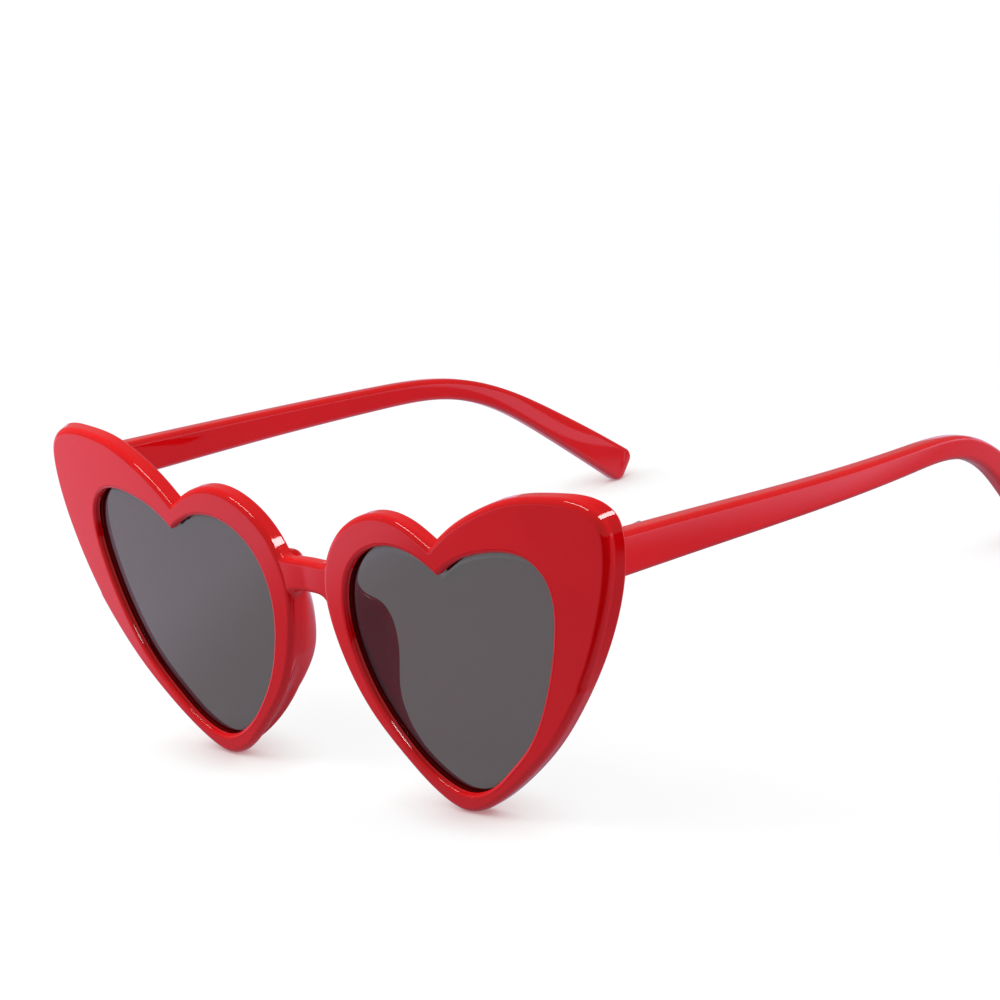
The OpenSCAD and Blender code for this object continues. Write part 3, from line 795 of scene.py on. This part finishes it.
def bumped(tree, value, distance, strength, shader):
    """A value taken as a height, whose slope turns the shader's normal."""
    made = tree.nodes.new("ShaderNodeBump")
    made.inputs["Distance"].default_value = distance
    made.inputs["Strength"].default_value = strength
    tree.links.new(value, made.inputs["Height"])
    tree.links.new(made.outputs["Normal"], shader.inputs["Normal"])


def combined(tree, operation, first, second):
    """Two values put together by a Math node's operation. Either may be a plain number."""
    made = tree.nodes.new("ShaderNodeMath")
    made.operation = operation
    for socket, value in zip(made.inputs, (first, second)):
        if isinstance(value, (int, float)):
            socket.default_value = value
        else:
            tree.links.new(value, socket)
    return made.outputs[0]


def mixed(tree, share, first, second):
    """Two shaders mixed, with the share of the second one."""
    made = tree.nodes.new("ShaderNodeMixShader")
    tree.links.new(share, made.inputs["Fac"])
    tree.links.new(first, made.inputs[1])
    tree.links.new(second, made.inputs[2])
    return made.outputs[0]


def glow(tree, kind, strength, colour=(1, 1, 1, 1)):
    """An Emission or a Background node of one colour and strength."""
    made = tree.nodes.new(kind)
    made.inputs["Color"].default_value = colour
    made.inputs["Strength"].default_value = strength
    return made


def ramp(tree, place, way, span, low, high):
    """A soft rise from low to high along a way over the floor: its length times the place's share in it."""
    along_it = tree.nodes.new("ShaderNodeVectorMath")
    along_it.operation = "DOT_PRODUCT"
    along_it.inputs[1].default_value = way
    tree.links.new(place, along_it.inputs[0])
    return ranged(tree, along_it.outputs["Value"], span, low, high, "SMOOTHSTEP")


def by_ray(tree, lit, reflected, seen):
    """Mixes three shaders: what lights things, what glossy surfaces mirror, and what is seen, directly or
    through the lenses."""
    path = tree.nodes.new("ShaderNodeLightPath")
    plain = combined(tree, "MAXIMUM", path.outputs["Is Camera Ray"], path.outputs["Is Transmission Ray"])
    return mixed(tree, plain, mixed(tree, path.outputs["Is Glossy Ray"], lit, reflected), seen)


# Finishes of the glasses

def red_plastic():
    """Polished opaque red: a faint drift in depth of colour, a few duller patches from handling, and the
    slight waviness of a moulded and tumbled surface."""
    made, tree, shader = finish("red_plastic", IOR=PLASTIC_IOR)
    colour = between_colours(tree, noise(tree, scale=45, detail=2), RED_DEEP, RED_BRIGHT)
    dullness = ranged(tree, noise(tree, scale=160, detail=4), VALUE_SPAN, low=0.03, high=0.07)
    tree.links.new(colour, shader.inputs["Base Color"])
    tree.links.new(dullness, shader.inputs["Roughness"])
    bumped(tree, noise(tree, scale=120, detail=1), distance=0.05 * MM, strength=0.05, shader=shader)
    return made


def lens_grey():
    """Evenly tinted dark grey, a little warm, that what lies behind shows through. The face that is met
    first has the tint and the shine, and the way out of the lens is clear."""
    made, tree, shader = finish("lens_grey", IOR=PLASTIC_IOR, Alpha=LENS_ALPHA)
    colour = between_colours(tree, noise(tree, scale=30, detail=1), LENS_DARK, LENS_LIGHT)
    dullness = ranged(tree, noise(tree, scale=220, detail=3), VALUE_SPAN, low=0.02, high=0.05)
    tree.links.new(colour, shader.inputs["Base Color"])
    tree.links.new(dullness, shader.inputs["Roughness"])
    side = tree.nodes.new("ShaderNodeNewGeometry")
    clear = tree.nodes.new("ShaderNodeBsdfTransparent")
    both = mixed(tree, side.outputs["Backfacing"], shader.outputs[0], clear.outputs[0])
    tree.links.new(both, tree.nodes["Material Output"].inputs["Surface"])
    return made


def hinge_steel():
    """Tumbled steel with fine lines along the leaves."""
    made, tree, shader = finish("hinge_steel", Metallic=1)
    fine = noise(tree, scale=900, detail=6, stretch=(1, 0.12, 1))
    tree.links.new(between_colours(tree, fine, STEEL_DARK, STEEL_LIGHT), shader.inputs["Base Color"])
    tree.links.new(ranged(tree, fine, VALUE_SPAN, low=0.22, high=0.38), shader.inputs["Roughness"])
    bumped(tree, fine, distance=0.02 * MM, strength=0.3, shader=shader)
    return made


# Stage

def seen_floor(tree, place, lit):
    """The floor as the camera sees it: mostly its own white glow, with a reddish contact shadow painted into
    it where something is near, and the rest lit by the lamps, for the shadows. That share fades out with the
    distance from the middle."""
    white = glow(tree, "ShaderNodeEmission", FLOOR_GLOW)
    occlusion = tree.nodes.new("ShaderNodeAmbientOcclusion")
    occlusion.inputs["Distance"].default_value = PAINTED_SHADOW_REACH
    # Painted contact shadow: the ambient occlusion turns the white glow towards a reddish shade near the
    # glasses
    tint = between_colours(tree, occlusion.outputs["AO"], PAINTED_SHADOW_COLOUR, (1, 1, 1), PAINTED_SHADOW_SPAN)
    tree.links.new(tint, white.inputs["Color"])
    far = tree.nodes.new("ShaderNodeVectorMath")
    far.operation = "LENGTH"
    tree.links.new(place, far.inputs[0])
    share = ranged(tree, far.outputs["Value"], SHADOW_FADE, SHADOW_SHARE, 0, "SMOOTHSTEP")
    return mixed(tree, share, white.outputs[0], lit)


def mirrored_floor(tree, place):
    """The floor as the glasses mirror it: the sum of a bright left and a bright back on the right, times
    what a dark zone in front on the right leaves of it. Left and right are the picture's."""
    right, back, ahead = (1, 0, 0), (0, 1, 0), (0, -1, 0)
    left = ramp(tree, place, LEFT_WAY, LEFT_SPAN, MIRRORED_ROOM, MIRRORED_LEFT)
    behind = combined(tree, "MULTIPLY", ramp(tree, place, right, BEHIND_ACROSS_SPAN, 0, 1),
                      ramp(tree, place, back, BEHIND_SPAN, 0, MIRRORED_BACK))
    dark = combined(tree, "MULTIPLY", ramp(tree, place, right, DARK_ACROSS_SPAN, 0, 1),
                    ramp(tree, place, ahead, DARK_AHEAD_SPAN, 0, 1))
    light = combined(tree, "MULTIPLY", combined(tree, "ADD", left, behind),
                     combined(tree, "SUBTRACT", 1, dark))
    made = glow(tree, "ShaderNodeEmission", 1, MIRRORED_COLOUR)
    tree.links.new(light, made.inputs["Strength"])
    return made.outputs[0]


def floor_white():
    """The floor's material: a plain grey for the light that it sends on, one glow for its mirror image in
    the glasses, and a white that keeps their shadows for what is seen of it."""
    made, tree, shader = finish("pale_floor", Roughness=0.9, Specular_IOR_Level=0.0)
    shader.inputs["Base Color"].default_value = (FLOOR_COLOUR, FLOOR_COLOUR, FLOOR_COLOUR, 1)
    place = tree.nodes.new("ShaderNodeTexCoord").outputs["Object"]
    lit = shader.outputs[0]
    whole = by_ray(tree, lit, mirrored_floor(tree, place), seen_floor(tree, place, lit))
    tree.links.new(whole, tree.nodes["Material Output"].inputs["Surface"])
    return made


def white_stage():
    """A plain floor under a plain room. What is seen of the room is white, and its light is soft."""
    corners = [(x * FLOOR_HALF, y * FLOOR_HALF, 0) for x, y in ((-1, -1), (1, -1), (1, 1), (-1, 1))]
    mesh = bpy.data.meshes.new("floor")
    mesh.from_pydata(corners, [], [(0, 1, 2, 3)])
    mesh.materials.append(floor_white())
    floor = bpy.data.objects.new("floor", mesh)
    bpy.context.scene.collection.objects.link(floor)

    world = bpy.data.worlds.new("studio")
    bpy.context.scene.world = world
    world.use_nodes = True
    tree = world.node_tree
    skies = [glow(tree, "ShaderNodeBackground", k).outputs[0] for k in (ROOM_LIGHT, MIRRORED_ROOM, 1)]
    tree.links.new(by_ray(tree, *skies), tree.nodes["World Output"].inputs["Surface"])


# Light and camera

def aimed(name, place, target, width, height, watts, reflected=True, lights=True):
    """A lit panel at a place, turned to a target. It may be left out of reflections, or only be mirrored."""
    light = bpy.data.lights.new(name, "AREA")
    light.shape = "RECTANGLE"
    light.size = width
    light.size_y = height
    light.energy = watts
    made = bpy.data.objects.new(name, light)
    bpy.context.scene.collection.objects.link(made)
    made.location = place
    made.rotation_euler = (Vector(place) - Vector(target)).to_track_quat("Z", "Y").to_euler()
    made.visible_glossy = reflected
    made.visible_diffuse = lights


def softbox(name, azimuth, elevation, distance, **panel):
    """A lit panel that looks at the glasses. Azimuth 0 is in front of them, and 90 at the wearer's left."""
    a, e = math.radians(azimuth), math.radians(elevation)
    way = Vector((math.sin(a) * math.cos(e), -math.cos(a) * math.cos(e), math.sin(e)))
    middle = Vector(LAMPS_LOOK_AT)
    aimed(name, middle + way * distance, middle, **panel)


def lamps():
    """Two soft lamps that light the glasses, and two bars that draw the bright lines on their edges."""
    softbox("high_left", azimuth=-62, elevation=38, distance=0.55,
            width=0.25, height=0.25, watts=2.8, reflected=False)
    softbox("back_right", azimuth=122, elevation=32, distance=0.6,
            width=0.4, height=0.4, watts=2.6, reflected=False)
    softbox("bar_above", azimuth=-13, elevation=65, distance=0.6,
            width=0.32, height=0.06, watts=0.85)
    aimed("bar_beside", place=(0.168, 0.006, 0.185), target=(0, 0.006, 0.045),
          width=0.233, height=0.038, watts=0.5, lights=False)


def camera():
    """The photograph's camera. Its place and its three angles are those of the front's own frame, and are
    then leant back with the front."""
    lens = bpy.data.cameras.new("camera")
    lens.sensor_width = SENSOR
    lens.lens = FOCAL_PX / PICTURE_PX * SENSOR
    lens.clip_start = 0.01
    lens.clip_end = 20
    made = bpy.data.objects.new("camera", lens)
    bpy.context.scene.collection.objects.link(made)
    a, e, r = (math.radians(x) for x in (CAMERA_AZIMUTH, CAMERA_ELEVATION, CAMERA_ROLL))
    back = np.array([math.sin(a) * math.cos(e), -math.cos(a) * math.cos(e), math.sin(e)])
    level = np.array([math.cos(a), math.sin(a), 0])
    above = np.cross(back, level)
    right = math.cos(r) * level + math.sin(r) * above
    up = -math.sin(r) * level + math.cos(r) * above
    turn = STAND @ np.stack([right, up, back], -1)
    place = Matrix(turn.tolist()).to_4x4()
    place.translation = Vector(stand(CAMERA_AT))
    made.matrix_world = place
    bpy.context.scene.camera = made


# The glasses

def glasses():
    """Front, lenses, pads and arms over their nodes, and the steel on the six hinge parts."""
    red, grey, steel = red_plastic(), lens_grey(), hinge_steel()
    left_rim = carved(rim_surface(), front_leaf_box())
    left_arm = carved(temple_surface(), temple_leaf_box())
    front = joined(left_rim, mirrored(*left_rim), bridge_surface())
    piece("front", front, red, "front", "front_frame")
    for side in ("left", "right"):
        lens, pad, arm = (on_side(surface, side) for surface in (lens_surface(), pad_surface(), left_arm))
        piece(f"lens_{side}_tinted", lens, grey, "front", f"lens_{side}")
        piece(f"pad_{side}", pad, red, "front", f"nose_pad_{side}")
        piece(f"arm_{side}", arm, red, f"temple_{side}", f"temple_{side}")
        for node in ("hinge_front_leaf", "hinge_screw", "hinge_temple_leaf"):
            slots = frame["nodes"][f"{node}_{side}"].data.materials
            slots.clear()
            slots.append(steel)


glasses()
white_stage()
lamps()
camera()
bpy.context.scene.view_settings.view_transform = "Standard"
